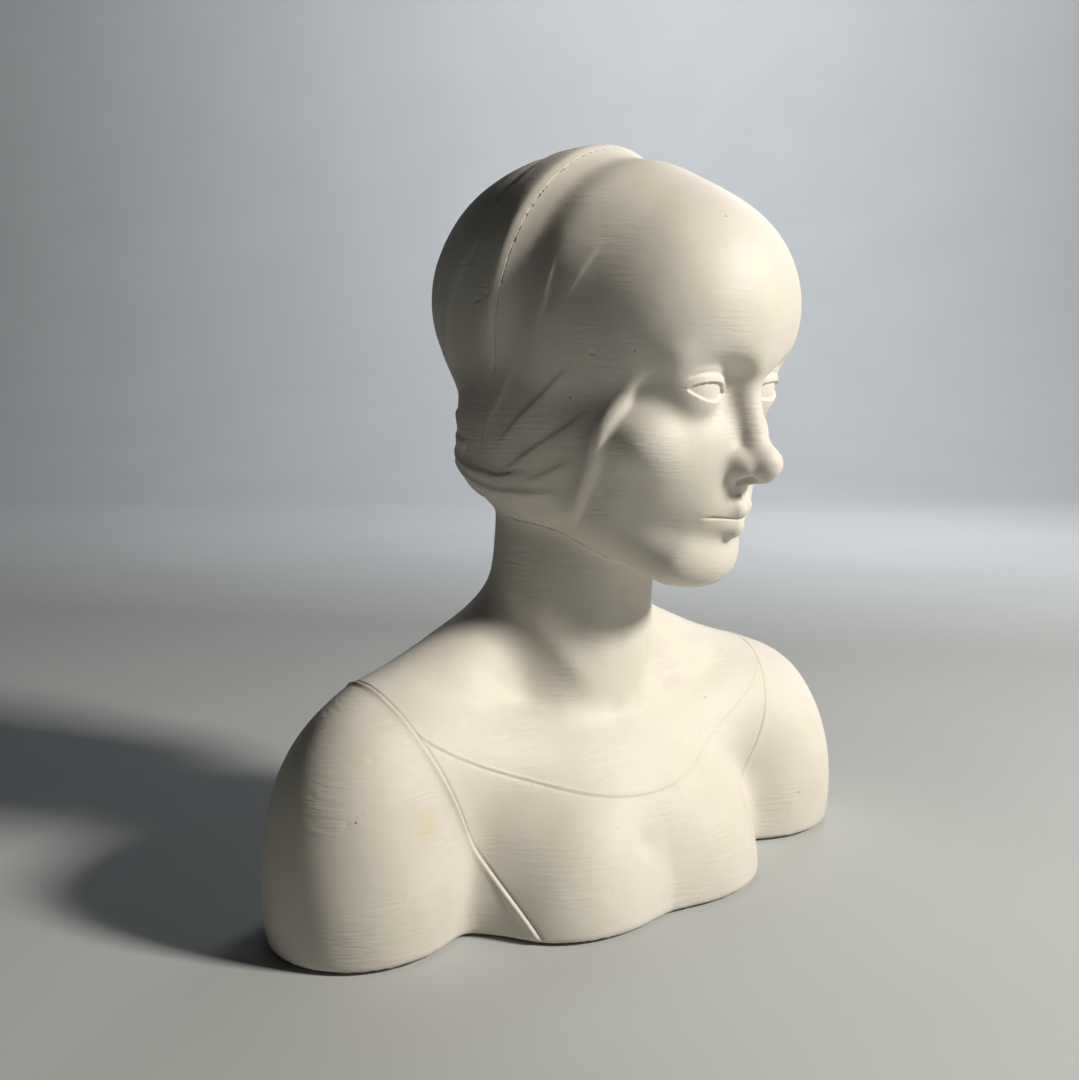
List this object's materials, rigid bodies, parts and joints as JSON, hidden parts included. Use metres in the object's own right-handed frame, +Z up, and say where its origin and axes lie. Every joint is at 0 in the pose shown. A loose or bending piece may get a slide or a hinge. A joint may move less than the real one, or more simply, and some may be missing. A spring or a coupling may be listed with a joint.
{
  "type": "portrait bust",
  "caption": "Cast stone bust of a calm woman in a smooth coif and wide-necked gown, head turned and bowed, on a closed flat underside.",
  "frame": {"origin": "middle of the bust's bounding box at the height of the table it stands on", "axes": "+Z up through the crown, -Y the way the chest faces, +X towards the sitter's left arm"},
  "size_m": [0.285, 0.1557, 0.3],
  "materials": {
    "cast_marble": "matte",
    "brass": "satin",
    "zinc_steel": "satin",
    "birch_ply": "matte",
    "beech": "matte",
    "felt": "matte"
  },
  "bodies": {
    "root": {"head_front": "cast_marble", "coif_back": "cast_marble", "neck_and_shoulders": "cast_marble", "bodice_front": "cast_marble", "bodice_back": "cast_marble", "sleeve_right": "cast_marble", "sleeve_left": "cast_marble", "coif_dowels": "brass", "neckline_dowels": "brass", "sleeve_dowels_right": "brass", "sleeve_dowels_left": "brass", "tie_rod": "zinc_steel", "upper_washer": "zinc_steel", "upper_nut": "zinc_steel", "lower_washer": "zinc_steel", "lower_nut": "zinc_steel", "base_board": "birch_ply", "screw_blocks": "beech", "base_screws": "zinc_steel", "felt_pads": "felt"}
  },
  "joints": []
}
